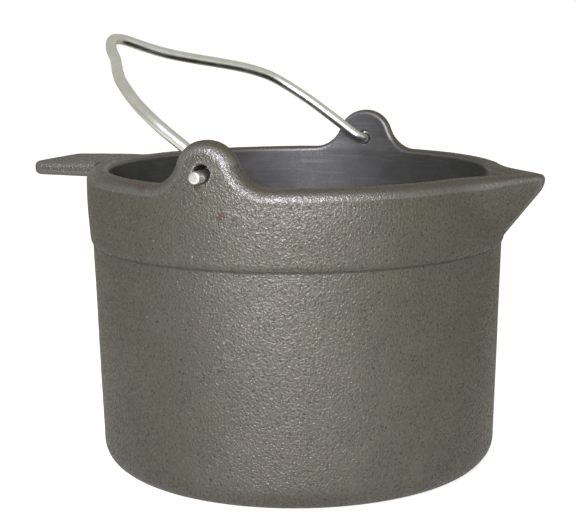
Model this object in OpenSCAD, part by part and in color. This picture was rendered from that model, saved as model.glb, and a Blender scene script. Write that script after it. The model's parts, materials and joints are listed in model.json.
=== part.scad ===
// Small cast-iron melting pot with a pouring spout, a tipping tab and a wire bail.
// Origin: centre of the base. +Z is up, the spout points to +X and the tab to -X.
// The bail swings about a line parallel to Y through the two ears.

/* [Pot] */
// Outside diameter of the rim band
rim_d = 120; // [110:1:140]
// Height from the base to the top of the rim
pot_h = 85.4; // [75:0.2:100]
// Wall thickness at the rim
rim_wall = 6.4; // [5:0.1:8]
// Outside diameter just under the band
neck_d = 117.1; // [112:0.1:118]
// Outside diameter at the bottom of the wall
foot_d = 114.4; // [105:0.2:116]
// Thickness of the floor
floor_t = 6; // [4:0.5:9]
// Inside diameter at the bottom of the wall
well_d = 104.4; // [96:0.2:106]
// Outside corner radius at the base
base_round = 7; // [3:0.5:10]
// Inside corner radius at the floor
well_round = 6; // [3:0.5:10]

/* [Rim band] */
// Depth below the rim of the middle of the step under the band
band_h = 20.3; // [14:0.1:26]
// Outside diameter of the band just above the step
band_d = 118.8; // [118:0.1:120]
// Height of the smooth step under the band
step_h = 3.2; // [2:0.2:6]
// Height over which the band widens from the step to its full diameter
flare_h = 11; // [2:0.5:14]
// Rounding of the outer rim edge
rim_round = 3.2; // [1:0.1:4]
// Bevel of the inner rim edge
rim_bevel = 0.8; // [0.3:0.1:1.5]

/* [Ears] */
// Radius of the rounded top of each ear
ear_r = 8.9; // [7:0.1:11]
// Height of the centre of that rounding above the rim
ear_lift = 3; // [2:0.5:5]
// Radius of the concave flank beside each ear
ear_flank = 9; // [6:0.5:12]
// Thickness of each ear
ear_t = 5.8; // [4:0.1:6.4]
// Diameter of the hole for the bail
hole_d = 4.8; // [4.4:0.1:6]
// Height of the hole's centre above the rim
hole_lift = 3.7; // [3.5:0.1:5]

/* [Spout and tab] */
// Distance from the pot's axis to the tip of the spout
spout_reach = 72.5; // [68:0.5:80]
// Angle between the middle line of the spout and each of its sides
spout_angle = 50; // [40:1:55]
// Rounding of the tip in plan
tip_round = 3; // [1.5:0.5:4]
// Depth of the blunt face at the tip
tip_face = 3.4; // [2:0.2:5]
// Depth below the rim at which the keel meets the wall
spout_drop = 19; // [12:1:20]
// Wall thickness of the spout, square to its sides
spout_wall = 6.4; // [5:0.2:7]
// Distance from the pot's axis to the end of the tab
tab_reach = 81.6; // [72:0.2:90]
// Width of the tab
tab_w = 27.2; // [18:0.2:34]
// Thickness of the tab
tab_t = 4.3; // [3.5:0.1:7]
// Rounding of the tab's corners in plan
tab_corner = 3.5; // [2.5:0.5:6]

/* [Bail] */
// Diameter of the wire
wire_d = 3.2; // [2.5:0.1:3.4]
// Lean of the bail above the horizontal, towards the tab
bail_lean = 34.5; // [5:0.5:170]
// Distance from the middle plane to the end of each pin
pin_reach = 64; // [62:0.5:67]
// Inside bend between each pin and its leg, measured on the wire's centreline
bail_bend = 3; // [2.5:0.5:4]
// Drop of the crown out of the plane of the legs
crown_drop = 6.4; // [0:0.2:8]

/* [Hidden] */

$fn = 96;
rim_r = rim_d / 2;
neck_r = neck_d / 2;
foot_r = foot_d / 2;
well_r = well_d / 2;
mouth_r = rim_r - rim_wall;
band_r = band_d / 2;
step_z = pot_h - band_h - step_h / 2;
hole_z = pot_h + hole_lift;
wire_r = wire_d / 2;

// The wire hangs on the lowest line of each hole, with a little room under it.
hang_gap = 0.1;
hinge_z = hole_z - hole_d / 2 + wire_r + hang_gap;

// The V-shaped spout and trough start this far inside the mouth, and the keel runs on into the wall.
spout_root = 5.6;
trough_root = 9.6;
keel_root = 3;
trough_nose = 1;
keel_slope = (spout_reach - rim_r) / (spout_drop - tip_face);

// How far one solid is sunk into another so that they join, and how far a cutter stands clear.
sink = 4;
clear = 1;

// Half of the bail's centreline, from the leg beside the pin to the crown. Each point is
// [distance from the middle plane, distance from the hinge line], measured in the legs' plane.
LEG_TO_CROWN = [
  [51, bail_bend], [51, 12], [50.3, 22], [47, 32], [41, 39.4], [33, 45.4],
  [24.5, 50.8], [16.5, 56.1], [9.5, 61.9], [4, 65.4], [0, 66.3],
];
leg_w = LEG_TO_CROWN[0][0];
// The drop of the crown starts and ends at these distances from the hinge line.
drop_from = 33;
drop_to = 64;
wire_sides = 16;
steps_per_span = 3;
// The swept wire is a hair thinner than its round pins, so that the two solids cross cleanly.
sweep_r = wire_r * 0.985;

function smooth(t) = t <= 0 ? 0 : t >= 1 ? 1 : t * t * (3 - 2 * t);

function arc(cx, cy, r, from, to, n = 6) =
  [for (i = [0 : n]) let (a = from + (to - from) * i / n) [cx + r * cos(a), cy + r * sin(a)]];

function outer_profile() = concat(
  [[0, 0]],
  arc(foot_r - base_round, base_round, base_round, -90, 0),
  [for (t = [0 : 0.125 : 1]) [neck_r + (band_r - neck_r) * smooth(t), step_z + step_h * t]],
  [[rim_r, step_z + step_h + flare_h]],
  arc(rim_r - rim_round, pot_h - rim_round, rim_round, 0, 90),
  [[0, pot_h]]
);

function cavity_profile() = concat(
  [[0, floor_t]],
  arc(well_r - well_round, floor_t + well_round, well_round, -90, 0),
  [[mouth_r, pot_h - rim_bevel], [mouth_r + rim_bevel + clear, pot_h + clear], [0, pot_h + clear]]
);

// Outline of an ear seen along Y, with its feet sunk into the rim.
function ear_outline() =
  let (
    side = sqrt(pow(ear_r + ear_flank, 2) - pow(ear_flank - ear_lift, 2)),
    lean = atan2(ear_flank - ear_lift, side)
  )
  concat(
    [[-side, -sink], [side, -sink]],
    arc(side, ear_flank, ear_flank, 270, 180 + lean, 8),
    arc(0, ear_lift, ear_r, lean, 180 - lean, 20),
    arc(-side, ear_flank, ear_flank, -lean, -90, 8)
  );

module ears() {
  intersection() {
    translate([0, 0, pot_h])
      rotate([90, 0, 0])
        linear_extrude(height = 2 * rim_d, center = true)
          polygon(ear_outline());
    difference() {
      translate([0, 0, pot_h - sink])
        cylinder(h = rim_d, r = rim_r);
      translate([0, 0, pot_h - sink - clear])
        cylinder(h = rim_d + 2 * clear, r = rim_r - ear_t);
    }
  }
}

// A V that opens towards the cavity: its rounded nose ends at x = reach, its open end at x = back.
function v_outline(reach, back, r) =
  let (
    half = (reach - r + r / sin(spout_angle) - back) * tan(spout_angle),
    turn = 90 - spout_angle
  )
  concat([[back, -half]], arc(reach - r, 0, r, -turn, turn), [[back, half]]);

module v_slab(reach, back, r, z, h) {
  translate([0, 0, z])
    linear_extrude(height = h)
      polygon(v_outline(reach, back, r));
}

// Two flat sides that meet in a sloping keel, under a blunt tip.
module spout() {
  soft = tip_face / 3;
  back = mouth_r - spout_root;
  hull() {
    v_slab(spout_reach - soft, back, tip_round, pot_h - soft, soft);
    v_slab(spout_reach, back, tip_round, pot_h - tip_face, tip_face - soft);
    v_slab(rim_r - keel_slope * keel_root, back, tip_round, pot_h - spout_drop - keel_root, sink / 2);
  }
}

// The pouring trough keeps to the spout's own slopes, one wall thickness inside them.
module trough() {
  reach = spout_reach - (spout_wall - tip_round + trough_nose) / sin(spout_angle) - tip_round + trough_nose;
  back = mouth_r - trough_root;
  hull() {
    v_slab(reach + keel_slope * clear, back, trough_nose, pot_h + clear, clear);
    v_slab(reach - keel_slope * spout_drop, back, trough_nose, pot_h - spout_drop, clear);
  }
}

module tab() {
  root = mouth_r + sink / 2;
  edge = tab_t / 3;
  top_gap = 0.5;
  half = tab_w / 2 - tab_corner;
  translate([0, 0, pot_h - top_gap - tab_t / 2])
    hull()
      for (x = [-root, tab_corner - tab_reach], y = [-half, half])
        translate([x, y, 0]) {
          cylinder(h = tab_t - 2 * edge, r = tab_corner, center = true, $fn = 24);
          cylinder(h = tab_t, r = tab_corner - edge, center = true, $fn = 24);
        }
}

module pot_casting() {
  color("dimgray")
    difference() {
      union() {
        rotate_extrude()
          polygon(outer_profile());
        ears();
        spout();
        tab();
      }
      rotate_extrude()
        polygon(cavity_profile());
      trough();
      for (side = [-1, 1])
        translate([0, side * (rim_r - ear_t / 2), hole_z])
          rotate([90, 0, 0])
            cylinder(h = 2 * ear_t, d = hole_d, center = true);
    }
}

// A smooth curve through p1 and p2, with p0 and p3 as their neighbours.
function through(p0, p1, p2, p3, t) =
  0.5 * (2 * p1 + (p2 - p0) * t + (2 * p0 - 5 * p1 + 4 * p2 - p3) * t * t
    + (3 * p1 - p0 - 3 * p2 + p3) * t * t * t);

// The half curve goes on past the crown as its own mirror image.
function leg_point(i) =
  let (last = len(LEG_TO_CROWN) - 1)
  i < 0 ? [leg_w, 0] :
  i > last ? [-LEG_TO_CROWN[2 * last - i][0], LEG_TO_CROWN[2 * last - i][1]] :
  LEG_TO_CROWN[i];

function half_curve() = [
  for (i = [0 : len(LEG_TO_CROWN) - 2], k = [0 : steps_per_span - 1])
    through(leg_point(i - 1), leg_point(i), leg_point(i + 1), leg_point(i + 2), k / steps_per_span)
];

// From inside the pin, round the bend and up the leg to just before the crown.
function half_path() = concat(
  [[leg_w + bail_bend + wire_r, 0]],
  [for (a = [270 : -15 : 195]) [leg_w + bail_bend * (1 + cos(a)), bail_bend * (1 + sin(a))]],
  half_curve()
);

// The legs lie along -X here, and the crown drops below them.
function bail_point(p, side) =
  [-p[1], side * p[0], -crown_drop * smooth((p[1] - drop_from) / (drop_to - drop_from))];

function bail_path() =
  let (half = half_path(), n = len(half))
  concat(
    [for (p = half) bail_point(p, -1)],
    [bail_point(LEG_TO_CROWN[len(LEG_TO_CROWN) - 1], 1)],
    [for (i = [n - 1 : -1 : 0]) bail_point(half[i], 1)]
  );

function unit(v) = v / norm(v);

function ring(path, i) =
  let (
    last = len(path) - 1,
    along = unit(path[min(i + 1, last)] - path[max(i - 1, 0)]),
    across = unit(cross(along, [0, 0, 1])),
    up = cross(across, along)
  )
  [for (k = [0 : wire_sides - 1])
    let (a = 360 * k / wire_sides)
    path[i] + sweep_r * (cos(a) * across + sin(a) * up)];

module wire(path) {
  n = len(path);
  side_faces = [
    for (i = [0 : n - 2], k = [0 : wire_sides - 1])
      let (next = (k + 1) % wire_sides, a = i * wire_sides, b = a + wire_sides)
      each [[a + k, b + next, b + k], [a + k, a + next, b + next]]
  ];
  start = [for (k = [wire_sides - 1 : -1 : 0]) k];
  end = [for (k = [0 : wire_sides - 1]) (n - 1) * wire_sides + k];
  polyhedron(
    points = [for (i = [0 : n - 1]) each ring(path, i)],
    faces = concat(side_faces, [start, end])
  );
}

module bail_wire() {
  pin = pin_reach - leg_w - bail_bend;
  color("silver")
    translate([0, 0, hinge_z])
      rotate([0, bail_lean, 0]) {
        wire(bail_path());
        for (side = [-1, 1])
          translate([0, side * (pin_reach - pin / 2), 0])
            rotate([90, 0, 0])
              cylinder(h = pin, r = wire_r, center = true);
      }
}

pot_casting();
bail_wire();
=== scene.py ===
"""Looks for the cast-iron melting pot: a casting meshed from a distance field, a swept wire bail,
procedural iron and zinc, and a white studio. The row frame is used throughout, with the spout at +X,
the tab at -X and the base on z = 0. Lengths are worked out in millimetres and written in metres."""

import json
import math

import bmesh
import bpy
import numpy as np
from mathutils import Matrix, Vector, noise


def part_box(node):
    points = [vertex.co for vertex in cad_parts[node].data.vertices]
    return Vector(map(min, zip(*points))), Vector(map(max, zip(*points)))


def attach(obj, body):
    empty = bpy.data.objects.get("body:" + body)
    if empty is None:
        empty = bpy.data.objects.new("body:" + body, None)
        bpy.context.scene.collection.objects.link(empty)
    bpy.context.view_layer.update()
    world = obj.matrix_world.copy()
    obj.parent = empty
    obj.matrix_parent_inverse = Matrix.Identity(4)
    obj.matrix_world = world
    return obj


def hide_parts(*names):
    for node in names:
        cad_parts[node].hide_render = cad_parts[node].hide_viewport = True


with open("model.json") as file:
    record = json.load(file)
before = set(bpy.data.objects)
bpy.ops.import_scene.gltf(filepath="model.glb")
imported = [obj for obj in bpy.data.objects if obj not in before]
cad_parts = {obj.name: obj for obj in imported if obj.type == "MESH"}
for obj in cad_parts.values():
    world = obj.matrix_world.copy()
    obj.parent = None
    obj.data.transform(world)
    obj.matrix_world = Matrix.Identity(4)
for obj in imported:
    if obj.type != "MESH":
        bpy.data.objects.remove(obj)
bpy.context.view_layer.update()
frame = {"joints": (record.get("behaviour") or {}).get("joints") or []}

MM = 0.001
CASTING_LOW, CASTING_HIGH = (np.array(corner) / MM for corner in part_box("pot_casting"))
BAIL_HIGH = np.array(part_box("bail_wire")[1]) / MM

# The casting, in millimetres. The frame gives the overall sizes.
RIM_R = CASTING_HIGH[1]
SPOUT_REACH = CASTING_HIGH[0]
TAB_REACH = -CASTING_LOW[0]
# Each ear is a disc whose centre is EAR_LIFT above the rim, with hollow flanks of radius EAR_FLANK.
EAR_R, EAR_LIFT, EAR_FLANK, EAR_T = 8.9, 3.0, 9.0, 5.8
POT_H = CASTING_HIGH[2] - EAR_LIFT - EAR_R
MOUTH_R, WELL_R, FLOOR_T, WELL_ROUND = RIM_R - 6.4, 52.2, 6.0, 6.0
NECK_R, FOOT_R, BASE_ROUND = 58.7, 57.35, 7.0
BAND_R, STEP_Z, STEP_H, FLARE_H = 59.45, POT_H - 21.3, 3.0, 11.0
STEP_CURVE, FLARE_CURVE = 2.2, 1.5
RIM_ROUND, TIP_EDGE_ROUND, MOUTH_ROUND = 3.2, 1.6, 1.1
HOLE_R, HOLE_Z, HOLE_ROUND, HOLE_TAPER = 2.4, POT_H + 3.7, 0.3, 0.6
SPOUT_ANGLE, TIP_ROUND, TIP_FACE, SPOUT_DROP = math.radians(50), 3.0, 3.4, 19.0
SPOUT_WALL, TROUGH_NOSE = 6.4, 1.0
SPOUT_START, TROUGH_START = MOUTH_R - 8, MOUTH_R - 12
KEEL_SLOPE = (SPOUT_REACH - RIM_R) / (SPOUT_DROP - TIP_FACE)
TAB_HALF, TAB_T, TAB_DROP, TAB_CORNER, TAB_EDGE = 13.6, 4.3, 0.5, 3.5, 1.7
# How wide the soft joins are between the wall and the spout, the wall and the tab, and along the keel.
SPOUT_BLEND, TAB_BLEND, KEEL_BLEND = 2.5, 1.6, 1.6

# The bail, in millimetres.
WIRE_R, PIN_REACH, BAIL_BEND, CROWN_DROP = 1.6, BAIL_HIGH[1], 3.0, 6.4
END_ROUND, BENT_THINNING = 0.45, 0.015
HINGE = next(joint for joint in frame["joints"] if joint["name"] == "bail_swing")
HINGE_Z = HINGE["pos_m"][2] / MM
BAIL_LEAN = math.radians(34.5)
# Half of the wire's centreline as (distance from the middle plane, distance from the hinge line).
LEG_TO_CROWN = [
    (51, 3), (51, 12), (50.3, 22), (47, 32), (41, 39.4), (33, 45.4),
    (24.5, 50.8), (16.5, 56.1), (9.5, 61.9), (4, 65.4), (0, 66.3),
]
# Between these distances from the hinge line the wire drops out of its leaning plane, by CROWN_DROP in all.
DROP_FROM, DROP_TO = 33, 64
# How many points go round the wire, and how many steps there are along its pin, bend and each curve.
WIRE_SIDES, PIN_STEPS, BEND_STEPS, CURVE_STEPS = 32, 12, 10, 10


# ---------------------------------------------------------------- camera
def aim(obj, target, roll=0.0):
    """Turns a camera or lamp towards target, then rolls it about its own axis."""
    way = Vector(target) - obj.location
    turn = way.to_track_quat("-Z", "Y").to_matrix() @ Matrix.Rotation(roll, 3, "Z")
    obj.rotation_euler = turn.to_euler()


def make_camera():
    azimuth, elevation, roll = math.radians(23.548), math.radians(11.583), math.radians(-0.44)
    distance, below_rim = 0.42007, 0.04
    target = Vector((0, 0, POT_H * MM - below_rim))
    cam = bpy.data.objects.new("camera", bpy.data.cameras.new("camera"))
    bpy.context.scene.collection.objects.link(cam)
    cam.data.sensor_width = 36
    cam.data.lens = 89.71
    cam.data.shift_x, cam.data.shift_y = -0.0172, 0.0628
    cam.data.clip_start, cam.data.clip_end = 0.01, 50
    back = Vector((
        math.sin(azimuth) * math.cos(elevation),
        -math.cos(azimuth) * math.cos(elevation),
        math.sin(elevation),
    ))
    cam.location = target + back * distance
    aim(cam, target, roll)
    bpy.context.scene.camera = cam


make_camera()


# ---------------------------------------------------------------- distance field of the casting
def ramp(value, start, stop):
    """0 before start, 1 after stop, and smooth between."""
    t = np.clip((value - start) / (stop - start), 0, 1)
    return t * t * (3 - 2 * t)


def blend_min(a, b, k):
    """The lower of two fields, with a soft join about k wide."""
    h = np.clip(0.5 + 0.5 * (b - a) / k, 0, 1)
    return b + (a - b) * h - k * h * (1 - h)


def round_and(a, b, radius):
    """The part inside both fields, its edge rounded to that radius."""
    return np.minimum(-radius, np.maximum(a, b)) + np.hypot(
        np.maximum(a + radius, 0), np.maximum(b + radius, 0)
    )


def outer_radius(z):
    """The wall leans out a little, steps out to the band and widens on up to the rim."""
    lean = (NECK_R - FOOT_R) * np.clip((z - BASE_ROUND) / (STEP_Z - BASE_ROUND), 0, 1)
    rise = np.clip((z - STEP_Z) / STEP_H, 0, 1)
    step = (BAND_R - NECK_R) * (1 - (1 - rise) ** STEP_CURVE) * ramp(rise, 0, 0.3)
    band_top = STEP_Z + STEP_H + FLARE_H
    flare = (RIM_R - BAND_R) * (1 - np.clip((band_top - z) / FLARE_H, 0, 1) ** FLARE_CURVE)
    return FOOT_R + lean + step + flare


def inner_radius(z):
    """The bore widens up to the mouth, and a little more above it, behind the ears."""
    lean = WELL_R + (MOUTH_R - WELL_R) * np.clip((z - FLOOR_T) / (POT_H - FLOOR_T), 0, 1)
    return lean + (RIM_R - EAR_T - MOUTH_R) * ramp(z, POT_H - 1, POT_H + 3)


def vee(x, y, reach, nose):
    """A V that opens towards -X, with its sides at SPOUT_ANGLE and a rounded nose that ends at reach."""
    centre = reach - nose
    across, along = math.sin(SPOUT_ANGLE), math.cos(SPOUT_ANGLE)
    dx, dy = x - centre, np.abs(y)
    side = dx * across + dy * along
    past_nose = dx * along > dy * across
    return np.where(past_nose, np.hypot(dx, dy), side) - nose


def keel_reach(z):
    """How far out the spout reaches at each height: upright at the tip, then sloping to the wall."""
    slope = RIM_R + KEEL_SLOPE * (z - (POT_H - SPOUT_DROP))
    return blend_min(slope, SPOUT_REACH, KEEL_BLEND)


def ear_top(x, z):
    """Distance to the rim line with an ear on it, seen along Y."""
    side = math.sqrt((EAR_R + EAR_FLANK) ** 2 - (EAR_FLANK - EAR_LIFT) ** 2)
    lean = math.atan2(EAR_FLANK - EAR_LIFT, side)
    x, z = np.abs(x), z - POT_H
    disc = np.hypot(x, z - EAR_LIFT) - EAR_R
    dx, dz = x - side, z - EAR_FLANK
    flank = EAR_FLANK - np.hypot(dx, dz)
    above = dx * math.sin(lean) - dz * math.cos(lean) < 0
    return np.where(above, disc, np.where(dx > 0, z, flank))


def casting_field(x, y, z):
    """Negative inside the iron. All lengths are in millimetres."""
    r = np.hypot(x, y)
    spout = np.maximum(vee(x, y, keel_reach(z), TIP_ROUND), SPOUT_START - x)
    wall = blend_min(r - outer_radius(z), spout, SPOUT_BLEND)
    tab_x = np.abs(x + TAB_REACH / 2) - TAB_REACH / 2 + TAB_CORNER
    tab_y = np.abs(y) - TAB_HALF + TAB_CORNER
    tab_plan = np.hypot(np.maximum(tab_x, 0), np.maximum(tab_y, 0)) + np.minimum(
        np.maximum(tab_x, tab_y), 0
    ) - TAB_CORNER
    tab = round_and(tab_plan, POT_H - TAB_DROP - TAB_T - z, TAB_EDGE)
    wall = blend_min(wall, tab, TAB_BLEND)

    # The top follows the rim and the ears, and falls a little along the tab.
    top = ear_top(x, z) + TAB_DROP * np.clip((-x - NECK_R) / (TAB_REACH - TAB_CORNER - NECK_R), 0, 1)
    edge = RIM_ROUND + (TIP_EDGE_ROUND - RIM_ROUND) * ramp(x, RIM_R - 2, SPOUT_REACH - 3)
    edge = edge + (TAB_EDGE - RIM_ROUND) * ramp(-x, RIM_R - 5, RIM_R + 1)
    body = round_and(wall, top, edge)
    body = round_and(body, -z, BASE_ROUND)

    cavity = round_and(r - inner_radius(z), FLOOR_T - z, WELL_ROUND)
    trough_reach = SPOUT_REACH - TIP_ROUND + TROUGH_NOSE - KEEL_SLOPE * (POT_H - z)
    trough_reach -= (SPOUT_WALL - TIP_ROUND + TROUGH_NOSE) / math.sin(SPOUT_ANGLE)
    trough = np.maximum(vee(x, y, trough_reach, TROUGH_NOSE), TROUGH_START - x)
    cavity = blend_min(cavity, trough, SPOUT_BLEND)
    iron = round_and(body, -cavity, MOUTH_ROUND)

    # The cored holes narrow inwards, so that they close round the wire.
    taper = HOLE_TAPER * np.clip((RIM_R - np.abs(y)) / EAR_T, 0, 1)
    hole = np.hypot(x, z - HOLE_Z + taper) - HOLE_R + taper
    return round_and(iron, -hole, HOLE_ROUND)


# ---------------------------------------------------------------- meshing a field
def spans(*stops):
    """Grid lines from (start, step) pairs and an end: each span is divided evenly at about its step."""
    lines = []
    for (start, step), nxt in zip(stops[:-1], stops[1:]):
        stop = nxt[0] if isinstance(nxt, tuple) else nxt
        lines.append(np.linspace(start, stop, max(2, round((stop - start) / step) + 1))[:-1])
    return np.concatenate(lines + [[stops[-1]]])


def slope_of(field, p, step=0.02):
    """The field's gradient at each row of p."""
    out = np.empty_like(p)
    for k in range(3):
        d = np.zeros(3)
        d[k] = step
        out[:, k] = (field(*(p + d).T) - field(*(p - d).T)) / (2 * step)
    return out


def settle(field, p, times=2):
    """Moves each point along the gradient onto the surface."""
    for _ in range(times):
        g = slope_of(field, p)
        p = p - g * (field(*p.T) / np.maximum((g * g).sum(1), 1e-6))[:, None]
    return p


def surface_net(field, xs, ys, zs):
    """Points and quads of the field's zero surface on a grid with uneven lines."""
    value = field(*np.meshgrid(xs, ys, zs, indexing="ij"))
    inside = value < 0
    lines = (xs, ys, zs)
    corners = [(i, j, k) for i in (0, 1) for j in (0, 1) for k in (0, 1)]

    def corner(a, c):
        return a[tuple(slice(c[k], a.shape[k] - 1 + c[k]) for k in range(3))]

    count = sum(corner(inside, c).astype(np.int8) for c in corners)
    cells = np.argwhere((count > 0) & (count < 8))
    number = -np.ones(count.shape, np.int64)
    number[tuple(cells.T)] = np.arange(len(cells))

    total, crossings = np.zeros((len(cells), 3)), np.zeros(len(cells))
    for axis in range(3):
        for c in corners:
            if c[axis]:
                continue
            at = cells + c
            to = at + np.eye(3, dtype=int)[axis]
            a, b = value[tuple(at.T)], value[tuple(to.T)]
            cut = (a < 0) != (b < 0)
            share = np.where(cut, a / np.where(cut, a - b, 1), 0)
            start = np.stack([lines[k][at[:, k]] for k in range(3)], 1)
            stop = np.stack([lines[k][to[:, k]] for k in range(3)], 1)
            total += np.where(cut[:, None], start + (stop - start) * share[:, None], 0)
            crossings += cut
    points = total / crossings[:, None]

    quads = []
    for axis in range(3):
        u, v = (axis + 1) % 3, (axis + 2) % 3
        low = [slice(1, -1)] * 3
        low[axis] = slice(0, -1)
        high = list(low)
        high[axis] = slice(1, None)
        a, b = inside[tuple(low)], inside[tuple(high)]
        for leaving in (True, False):
            found = np.argwhere((a == leaving) & (b != leaving))
            base = found.copy()
            base[:, u] += 1
            base[:, v] += 1
            ring = []
            for du, dv in ((-1, -1), (0, -1), (0, 0), (-1, 0)):
                at = base.copy()
                at[:, u] += du
                at[:, v] += dv
                ring.append(number[tuple(at.T)])
            quad = np.stack(ring, 1)
            quads.append(quad if leaving else quad[:, ::-1])
    return points, np.concatenate(quads)


def relax(field, p, quads, times=12):
    """Evens out the quads by sliding points along the surface towards their neighbours."""
    pairs = np.concatenate([quads[:, [k, (k + 1) % 4]] for k in range(4)])
    pairs = np.concatenate([pairs, pairs[:, ::-1]])
    neighbours = np.bincount(pairs[:, 0], minlength=len(p))
    for _ in range(times):
        mean = np.stack([np.bincount(pairs[:, 0], p[pairs[:, 1], k], len(p)) for k in range(3)], 1)
        move = mean / neighbours[:, None] - p
        g = slope_of(field, p)
        n = g / np.linalg.norm(g, axis=1, keepdims=True)
        move -= n * (move * n).sum(1, keepdims=True)
        p = settle(field, p + 0.5 * move, 1)
    return settle(field, p, 2)


def new_mesh(name, points, faces):
    """A smooth-shaded object from points in millimetres."""
    mesh = bpy.data.meshes.new(name)
    mesh.from_pydata((np.asarray(points) * MM).tolist(), [], [list(map(int, f)) for f in faces])
    mesh.validate()
    mesh.polygons.foreach_set("use_smooth", np.ones(len(mesh.polygons), bool))
    mesh.update()
    obj = bpy.data.objects.new(name, mesh)
    bpy.context.scene.collection.objects.link(obj)
    return obj


def add_attribute(obj, name, values):
    obj.data.attributes.new(name, "FLOAT", "POINT").data.foreach_set("value", values.astype(np.float32))


def lumps(points, size, seed):
    """Noise from -1 to 1 with features about size across."""
    shift = Vector((seed * 17.3, seed * 5.1, seed * 9.7))
    return np.array([noise.noise(Vector(p) / size + shift) for p in points])


# ---------------------------------------------------------------- casting
# Each ear lies within EAR_SIDE of the plane x = 0 and further out than EAR_BACK from the plane y = 0.
EAR_SIDE, EAR_BACK = 18, 51


def casting_grid():
    """Grid lines: close at the ears, tab, spout, step and rim, and wider where the wall is plain."""
    clear, by_tab = 2, TAB_HALF + 3
    xs = spans(
        (-TAB_REACH - clear, 0.7), (-RIM_R + 2, 1.5), (-EAR_SIDE, 0.6), (EAR_SIDE, 1.5),
        (RIM_R - 4, 0.65), SPOUT_REACH + clear,
    )
    ys = spans(
        (-RIM_R - clear, 0.6), (-EAR_BACK, 1.4), (-by_tab, 0.75), (by_tab, 1.4),
        (EAR_BACK, 0.6), RIM_R + clear,
    )
    zs = spans(
        (-clear, 1.5), (STEP_Z - 3, 0.5), (STEP_Z + 5, 1.3), (POT_H - 7, 0.55), CASTING_HIGH[2] + clear,
    )
    return xs, ys, zs


def bend_of(points, reach=0.4):
    """How sharply the casting turns: positive on rounded edges, negative in hollows."""
    steps = [side * reach * np.eye(3)[k] for k in range(3) for side in (-1, 1)]
    return sum(casting_field(*(points + step).T) for step in steps) / reach**2


def casting_marks(points, normal):
    """What the iron's material needs at each point: on the bored inside, how sharply bent, on the rim."""
    x, y, z = points.T
    r = np.hypot(x, y)
    facing_in = -(normal[:, 0] * x + normal[:, 1] * y) / np.maximum(r, 1)
    inside = np.maximum(ramp(facing_in, 0.25, 0.7), 1 - ramp(r, MOUTH_R - 2.5, MOUTH_R - 1))
    inside = inside * ramp(z, 2, FLOOR_T - 0.5)
    inside = inside * (1 - ramp(r - inner_radius(z), 0.3, 1.2))

    # The step under the band is soft, so its wear and painted highlight are held back.
    bend = bend_of(points)
    by_step = np.abs(z - STEP_Z - STEP_H / 2) < 4
    bend = np.where(by_step, np.minimum(bend, 0.15), bend)

    # The faces that look up around the rim and over the ears.
    rim = ramp(normal[:, 2], 0.35, 0.85) * ramp(z, POT_H - 3, POT_H - 0.8)
    rim = rim * ramp(x, -MOUTH_R, -MOUTH_R / 2)
    return {"inside": inside, "bend": np.clip(bend, -1, 1), "rim": rim}


def sand_relief(points, inside):
    """How deep the sand-cast unevenness is: none at the base and in the holes, and little on the inside."""
    x, y, z = points.T
    relief = 0.06 * (1 + lumps(points, 14, 1)) + 0.04 * (1 + lumps(points, 4.5, 2))
    relief = relief * np.where(inside > 0.5, 0.35, 1.0) * ramp(z, 0, 2)
    in_hole = (np.hypot(x, z - HOLE_Z) < HOLE_R + 0.4) & (np.abs(y) > EAR_BACK)
    return np.where(in_hole, 0, relief)


def build_casting():
    points, quads = surface_net(casting_field, *casting_grid())
    points = relax(casting_field, points, quads)
    g = slope_of(casting_field, points)
    normal = g / np.linalg.norm(g, axis=1, keepdims=True)
    marks = casting_marks(points, normal)

    # The relief is cut into the surface, so that nothing stands outside the design.
    points = points - normal * sand_relief(points, marks["inside"])[:, None]
    obj = new_mesh("casting", points, quads)
    for name, values in marks.items():
        add_attribute(obj, name, values)
    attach(obj, "pot")
    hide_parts("pot_casting")
    return obj


# ---------------------------------------------------------------- bail
def through(p, t):
    """A smooth curve from p[1] to p[2], with p[0] and p[3] as their neighbours."""
    p = np.asarray(p, float)
    return 0.5 * (
        2 * p[1]
        + (p[2] - p[0]) * t
        + (2 * p[0] - 5 * p[1] + 4 * p[2] - p[3]) * t**2
        + (3 * p[1] - p[0] - 3 * p[2] + p[3]) * t**3
    )


def bail_path():
    """The wire's centreline from one pin's end to the other, in the row frame at rest."""
    leg_w = LEG_TO_CROWN[0][0]
    last_w, last_v = LEG_TO_CROWN[-2]
    stops = [(leg_w, 0)] + LEG_TO_CROWN + [(-last_w, last_v)]
    pin_in = leg_w + BAIL_BEND
    half = [(w, 0.0) for w in np.linspace(PIN_REACH, pin_in, PIN_STEPS, endpoint=False)]
    for a in np.radians(np.linspace(270, 180, BEND_STEPS, endpoint=False)):
        half.append((leg_w + BAIL_BEND * (1 + math.cos(a)), BAIL_BEND * (1 + math.sin(a))))
    for i in range(1, len(LEG_TO_CROWN)):
        half += [tuple(through(stops[i - 1 : i + 3], k / CURVE_STEPS)) for k in range(CURVE_STEPS)]
    w, v = np.array(half).T
    w = np.concatenate([-w, [0], w[::-1]])
    v = np.concatenate([v, [LEG_TO_CROWN[-1][1]], v[::-1]])
    off = -CROWN_DROP * ramp(v, DROP_FROM, DROP_TO)
    lean_c, lean_s = math.cos(BAIL_LEAN), math.sin(BAIL_LEAN)
    x, up = off * lean_s - v * lean_c, v * lean_s + off * lean_c

    # The crown may reach no higher than the CAD's.
    up *= min(1, (BAIL_HIGH[2] - HINGE_Z - WIRE_R) / up.max())
    return np.stack([x, w, HINGE_Z + up], 1)


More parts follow.
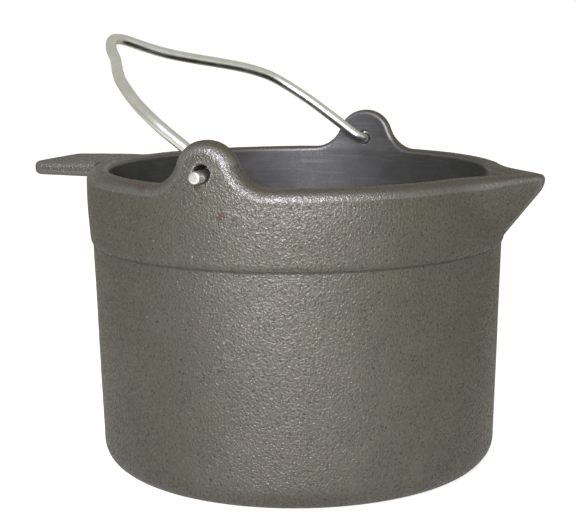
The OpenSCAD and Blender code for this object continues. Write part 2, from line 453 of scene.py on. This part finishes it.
def bail_rings():
    """The centre and the radius of every ring of the wire, with its sheared ends rounded off."""
    path = bail_path()

    # Each end has a flat face and then an edge rounded to END_ROUND.
    turn = np.radians(np.linspace(90, 0, 5))
    face = np.array([0.05, 0.4, 0.75]) * (WIRE_R - END_ROUND)
    end_radii = np.concatenate([face, WIRE_R - END_ROUND * (1 - np.cos(turn))])
    ins = np.concatenate([0 * face, END_ROUND * (1 - np.sin(turn))])
    start = np.stack([0 * ins, ins - PIN_REACH, 0 * ins + HINGE_Z], 1)
    rings = np.concatenate([start, path[1:-1], start[::-1] * [1, -1, 1]])
    leg_w = LEG_TO_CROWN[0][0]
    bent = 1 - ramp(np.abs(path[1:-1, 1]), leg_w, leg_w + BAIL_BEND)
    radii = np.concatenate([end_radii, WIRE_R * (1 - BENT_THINNING * bent), end_radii[::-1]])
    return rings, radii


def ring_directions(rings):
    """Unit tangents, along Y where rings share a place at the flat ends."""
    along = np.gradient(rings, axis=0)
    size = np.linalg.norm(along, axis=1, keepdims=True)
    return np.where(size > 1e-4, along / np.maximum(size, 1e-9), [[0, 1, 0]])


def make_bail():
    """Sweeps a circle along the rings, and closes both ends."""
    rings, radii = bail_rings()
    along = ring_directions(rings)
    up = np.array([math.sin(BAIL_LEAN), 0, math.cos(BAIL_LEAN)])
    across = np.cross(along, up)
    across /= np.linalg.norm(across, axis=1, keepdims=True)
    over = np.cross(across, along)
    a = np.linspace(0, 2 * math.pi, WIRE_SIDES, endpoint=False)
    ring = np.cos(a)[None, :, None] * across[:, None] + np.sin(a)[None, :, None] * over[:, None]
    points = (rings[:, None] + ring * radii[:, None, None]).reshape(-1, 3)
    here = np.arange(len(rings) - 1)[:, None] * WIRE_SIDES
    k = np.arange(WIRE_SIDES)[None, :]
    nxt, after = (k + 1) % WIRE_SIDES, here + WIRE_SIDES
    faces = np.stack([here + k, here + nxt, after + nxt, after + k], -1).reshape(-1, 4).tolist()
    faces.append(list(range(WIRE_SIDES))[::-1])
    faces.append(list(range(len(points) - WIRE_SIDES, len(points))))
    obj = new_mesh("bail", points, faces)
    bm = bmesh.new()
    bm.from_mesh(obj.data)
    bmesh.ops.recalc_face_normals(bm, faces=bm.faces)
    bm.to_mesh(obj.data)
    bm.free()
    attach(obj, "bail")
    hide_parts("bail_wire")
    return obj


# ---------------------------------------------------------------- materials
class Nodes:
    """A small helper that adds nodes to one material and wires them together."""

    def __init__(self, name):
        self.material = bpy.data.materials.new(name)
        self.material.use_nodes = True
        self.tree = self.material.node_tree
        self.shader = self.tree.nodes["Principled BSDF"]
        self.place = self.add("ShaderNodeTexCoord").outputs["Object"]

    def add(self, kind, **settings):
        node = self.tree.nodes.new(kind)
        for key, value in settings.items():
            setattr(node, key, value)
        return node

    def put(self, socket, value):
        if isinstance(value, bpy.types.NodeSocket):
            self.tree.links.new(value, socket)
        elif value is not None:
            socket.default_value = value

    def math(self, operation, a, b=None, c=None):
        node = self.add("ShaderNodeMath", operation=operation)
        for socket, value in zip(node.inputs, (a, b, c)):
            self.put(socket, value)
        return node.outputs[0]

    def noise(self, size, detail=2, rough=0.5, place=None):
        """Noise from 0 to 1 with features about size millimetres across."""
        node = self.add("ShaderNodeTexNoise")
        self.put(node.inputs["Vector"], place or self.place)
        self.put(node.inputs["Scale"], 1 / (size * MM))
        self.put(node.inputs["Detail"], detail)
        self.put(node.inputs["Roughness"], rough)
        return node.outputs["Fac"]

    def remap(self, value, low, high, to_low=0.0, to_high=1.0):
        """Carries value smoothly from low..high to to_low..to_high, and holds it there outside."""
        node = self.add("ShaderNodeMapRange", interpolation_type="SMOOTHSTEP")
        for socket, number in zip(node.inputs, (value, low, high, to_low, to_high)):
            self.put(socket, number)
        return node.outputs[0]

    def mix(self, share, a, b):
        """The colour a, or b where share is 1."""
        node = self.add("ShaderNodeMix", data_type="RGBA")
        self.put(node.inputs[0], share)
        for socket, value in zip((node.inputs[6], node.inputs[7]), (a, b)):
            self.put(socket, value if isinstance(value, bpy.types.NodeSocket) else (*value, 1))
        return node.outputs[2]

    def attribute(self, name):
        return self.add("ShaderNodeAttribute", attribute_name=name).outputs["Fac"]

    def bump(self, height, distance_mm, strength, normal=None):
        node = self.add("ShaderNodeBump")
        self.put(node.inputs["Height"], height)
        self.put(node.inputs["Distance"], distance_mm * MM)
        self.put(node.inputs["Strength"], strength)
        self.put(node.inputs["Normal"], normal)
        return node.outputs["Normal"]


# Where the casting has begun to rust: the centre and the radius of each spot, in millimetres.
RUST_SPOTS = [
    ((5.2, -59.8, 78.5), 2.8), ((-19.4, -56.2, 84.2), 4.2),
    ((28.0, 51.8, 34.0), 4.0), ((-52.0, 26.0, 22.0), 3.2),
]


def iron_material():
    n = Nodes("cast_iron")
    inside, bend, rim = (n.attribute(name) for name in ("inside", "bend", "rim"))

    # The grain is the sand's print. It is nearly gone where the inside has been bored smooth.
    grain = n.noise(0.62, 3, 0.5)
    depth = n.remap(inside, 0, 1, 1, 0.12)
    grain = n.math("MULTIPLY_ADD", n.math("SUBTRACT", grain, 0.5), depth, 0.5)
    fine = n.noise(0.3, 2, 0.6)
    patches = n.noise(9, 3, 0.6)
    clouds = n.noise(34, 2, 0.5)

    colour = n.mix(n.remap(clouds, 0.35, 0.65), (0.087, 0.083, 0.056), (0.098, 0.093, 0.066))
    colour = n.mix(n.remap(patches, 0.35, 0.7, 0, 0.5), colour, (0.076, 0.071, 0.052))
    speck = n.remap(grain, 0.54, 0.74)
    colour = n.mix(n.math("MULTIPLY", speck, 0.35), colour, (0.20, 0.19, 0.165))
    sparks = n.remap(n.noise(1.3, 2, 0.5), 0.74, 0.8)
    colour = n.mix(n.math("MULTIPLY", sparks, 0.8), colour, (0.34, 0.34, 0.32))
    pits = n.remap(grain, 0.3, 0.44, 1, 0)
    colour = n.mix(n.math("MULTIPLY", pits, 0.75), colour, (0.025, 0.022, 0.019))

    ragged = n.noise(1.6, 4, 0.7)
    rust = n.math("MULTIPLY", n.remap(n.noise(5.5, 4, 0.65), 0.68, 0.76), 0.5)
    for centre, radius in RUST_SPOTS:
        away = n.add("ShaderNodeVectorMath", operation="DISTANCE")
        n.put(away.inputs[0], n.place)
        n.put(away.inputs[1], tuple(c * MM for c in centre))
        near = n.remap(away.outputs["Value"], 0, radius * MM, 1, 0)
        spot = n.remap(n.math("MULTIPLY", near, ragged), 0.22, 0.5, 0, 0.75)
        rust = n.math("MAXIMUM", rust, spot)
    colour = n.mix(rust, colour, (0.052, 0.024, 0.015))

    # The bored inside is smoother and greyer, with turning marks round it.
    stretched = n.add("ShaderNodeMapping")
    n.put(stretched.inputs["Vector"], n.place)
    stretched.inputs["Scale"].default_value = (0.06, 0.06, 1)
    marks = n.noise(0.7, 3, 0.6, stretched.outputs["Vector"])
    inner = n.mix(n.remap(patches, 0.3, 0.7), (0.059, 0.060, 0.050), (0.074, 0.075, 0.063))
    inner = n.mix(n.remap(marks, 0.5, 0.75, 0, 0.25), inner, (0.15, 0.152, 0.132))
    colour = n.mix(inside, colour, inner)

    # Rounded edges are painted lighter, partly as wear and partly as a painted highlight, except on the
    # rim, which is browned. Hollows are painted darker as shade.
    wear_and_highlight = n.math("MULTIPLY", n.remap(bend, 0.12, 0.42, 0, 0.4), n.math("SUBTRACT", 1, rim))
    colour = n.mix(wear_and_highlight, colour, (0.22, 0.21, 0.19))
    colour = n.mix(n.math("MULTIPLY", rim, 0.6), colour, (0.085, 0.066, 0.045))
    # Painted shade: the hollows are darkened.
    colour = n.mix(n.remap(bend, -0.5, -0.12, 0.55, 0), colour, (0.03, 0.027, 0.023))
    n.put(n.shader.inputs["Base Color"], colour)
    n.put(n.shader.inputs["Metallic"], n.remap(inside, 0, 1, 0.6, 0.7))

    rough = n.remap(grain, 0.36, 0.6, 0.62, 0.31)
    rough = n.math("SUBTRACT", rough, n.math("MULTIPLY", wear_and_highlight, 0.15))
    rough = n.math("ADD", rough, n.math("MULTIPLY", n.math("MAXIMUM", rim, inside), 0.12))
    n.put(n.shader.inputs["Roughness"], rough)

    normal = n.bump(grain, 0.3, 1.0)
    normal = n.bump(n.math("MULTIPLY", fine, depth), 0.07, 0.8, normal)
    n.put(n.shader.inputs["Normal"], normal)
    return n.material


def zinc_material():
    n = Nodes("zinc_wire")
    cloud = n.noise(5, 3, 0.6)
    colour = n.mix(n.remap(cloud, 0.35, 0.65), (0.84, 0.86, 0.80), (0.88, 0.895, 0.86))
    dull = n.remap(n.noise(1.1, 4, 0.7), 0.6, 0.72)
    colour = n.mix(n.math("MULTIPLY", dull, 0.25), colour, (0.50, 0.50, 0.43))
    n.put(n.shader.inputs["Base Color"], colour)
    n.put(n.shader.inputs["Metallic"], 1.0)
    n.put(n.shader.inputs["Roughness"], n.remap(cloud, 0.3, 0.7, 0.27, 0.35))
    n.put(n.shader.inputs["Normal"], n.bump(n.noise(1.5, 3, 0.6), 0.01, 0.5))
    return n.material


# ---------------------------------------------------------------- studio
def make_floor():
    """A white disc. What the camera sees of it is lifted to white, and it lights the pot as pale grey."""
    mesh = bpy.data.meshes.new("floor")
    bm = bmesh.new()
    bmesh.ops.create_circle(bm, cap_ends=True, segments=96, radius=4)
    bm.to_mesh(mesh)
    bm.free()
    floor = bpy.data.objects.new("floor", mesh)
    bpy.context.scene.collection.objects.link(floor)
    n = Nodes("floor")
    n.put(n.shader.inputs["Base Color"], (0.70, 0.69, 0.60, 1))
    n.put(n.shader.inputs["Roughness"], 0.9)
    n.put(n.shader.inputs["Specular IOR Level"], 0.0)
    n.put(n.shader.inputs["Emission Color"], (1, 1, 1, 1))
    seen = n.add("ShaderNodeLightPath").outputs["Is Camera Ray"]
    n.put(n.shader.inputs["Emission Strength"], n.math("MULTIPLY", seen, 0.75))
    mesh.materials.append(n.material)


def make_world():
    """An even surround: white to the camera, and dimmer and a little warm as a light."""
    world = bpy.data.worlds.new("studio")
    bpy.context.scene.world = world
    world.use_nodes = True
    tree = world.node_tree
    light = tree.nodes["Background"]
    light.inputs["Color"].default_value = (1.0, 0.99, 0.87, 1)
    light.inputs["Strength"].default_value = 0.48
    seen = tree.nodes.new("ShaderNodeBackground")
    seen.inputs["Color"].default_value = (1, 1, 1, 1)
    seen.inputs["Strength"].default_value = 1.05
    either = tree.nodes.new("ShaderNodeMixShader")
    camera_ray = tree.nodes.new("ShaderNodeLightPath").outputs["Is Camera Ray"]
    tree.links.new(camera_ray, either.inputs[0])
    tree.links.new(light.outputs[0], either.inputs[1])
    tree.links.new(seen.outputs[0], either.inputs[2])
    tree.links.new(either.outputs[0], tree.nodes["World Output"].inputs["Surface"])


def make_light(name, azimuth, elevation, distance, size, watts, colour):
    """A soft round lamp that looks at the middle of the pot."""
    middle = Vector((0, 0, POT_H * MM / 2))
    a, e = math.radians(azimuth), math.radians(elevation)
    lamp = bpy.data.objects.new(name, bpy.data.lights.new(name, "AREA"))
    bpy.context.scene.collection.objects.link(lamp)
    lamp.data.shape = "DISK"
    lamp.data.size = size
    lamp.data.energy = watts
    lamp.data.color = colour
    lamp.visible_camera = False
    lamp.location = middle + distance * Vector((
        math.cos(a) * math.cos(e),
        math.sin(a) * math.cos(e),
        math.sin(e),
    ))
    aim(lamp, middle)


def make_studio():
    """One lamp in front makes the broad highlight, and two faint ones lift the side towards the spout."""
    make_floor()
    make_world()
    make_light("front_light", -75, 22, 0.6, 0.22, 7.3, (0.79, 0.775, 1.0))
    make_light("side_light", -38, 26, 0.6, 0.25, 0.15, (1.0, 1.0, 1.0))
    make_light("right_light", 14, 8, 0.8, 0.5, 0.15, (1.0, 1.0, 1.0))
    bpy.context.scene.view_settings.view_transform = "Standard"


casting = build_casting()
casting.data.materials.append(iron_material())
bail = make_bail()
bail.data.materials.append(zinc_material())
make_studio()
